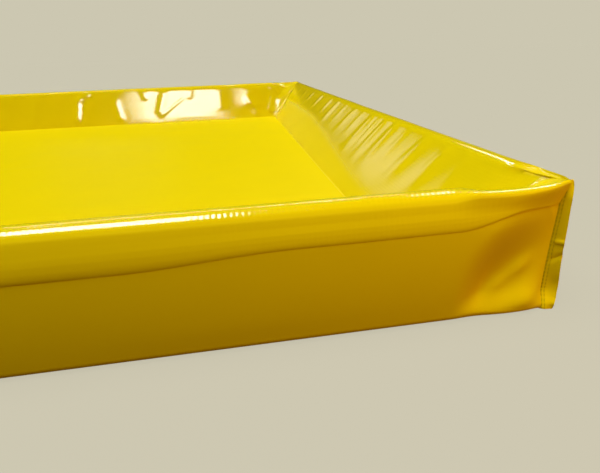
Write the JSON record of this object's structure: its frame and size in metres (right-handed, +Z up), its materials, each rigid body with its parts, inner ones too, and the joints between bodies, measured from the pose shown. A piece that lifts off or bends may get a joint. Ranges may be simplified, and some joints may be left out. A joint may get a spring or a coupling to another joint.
{
  "type": "flexible spill containment tray",
  "caption": "Low square tray of glossy coated fabric with foam-filled walls, slack sloped inner sides and pinched corners with upright welded seams, for catching leaks under drums.",
  "frame": {"origin": "on the ground, under the middle of the tray", "axes": "+Z up, X and Y along the walls; the pictured wall faces -Y"},
  "size_m": [1.22, 1.22, 0.102],
  "materials": {
    "coated_fabric": "gloss",
    "foam": "matte"
  },
  "bodies": {
    "root": {"base_sheet": "coated_fabric", "floor_liner": "coated_fabric", "skirt_front": "coated_fabric", "cover_front": "coated_fabric", "foam_front": "foam", "skirt_right": "coated_fabric", "cover_right": "coated_fabric", "foam_right": "foam", "skirt_back": "coated_fabric", "cover_back": "coated_fabric", "foam_back": "foam", "skirt_left": "coated_fabric", "cover_left": "coated_fabric", "foam_left": "foam", "seam_flange_front_right": "coated_fabric", "corner_gusset_front_right": "coated_fabric", "seam_flange_back_right": "coated_fabric", "corner_gusset_back_right": "coated_fabric", "seam_flange_back_left": "coated_fabric", "corner_gusset_back_left": "coated_fabric", "seam_flange_front_left": "coated_fabric", "corner_gusset_front_left": "coated_fabric"}
  },
  "joints": []
}
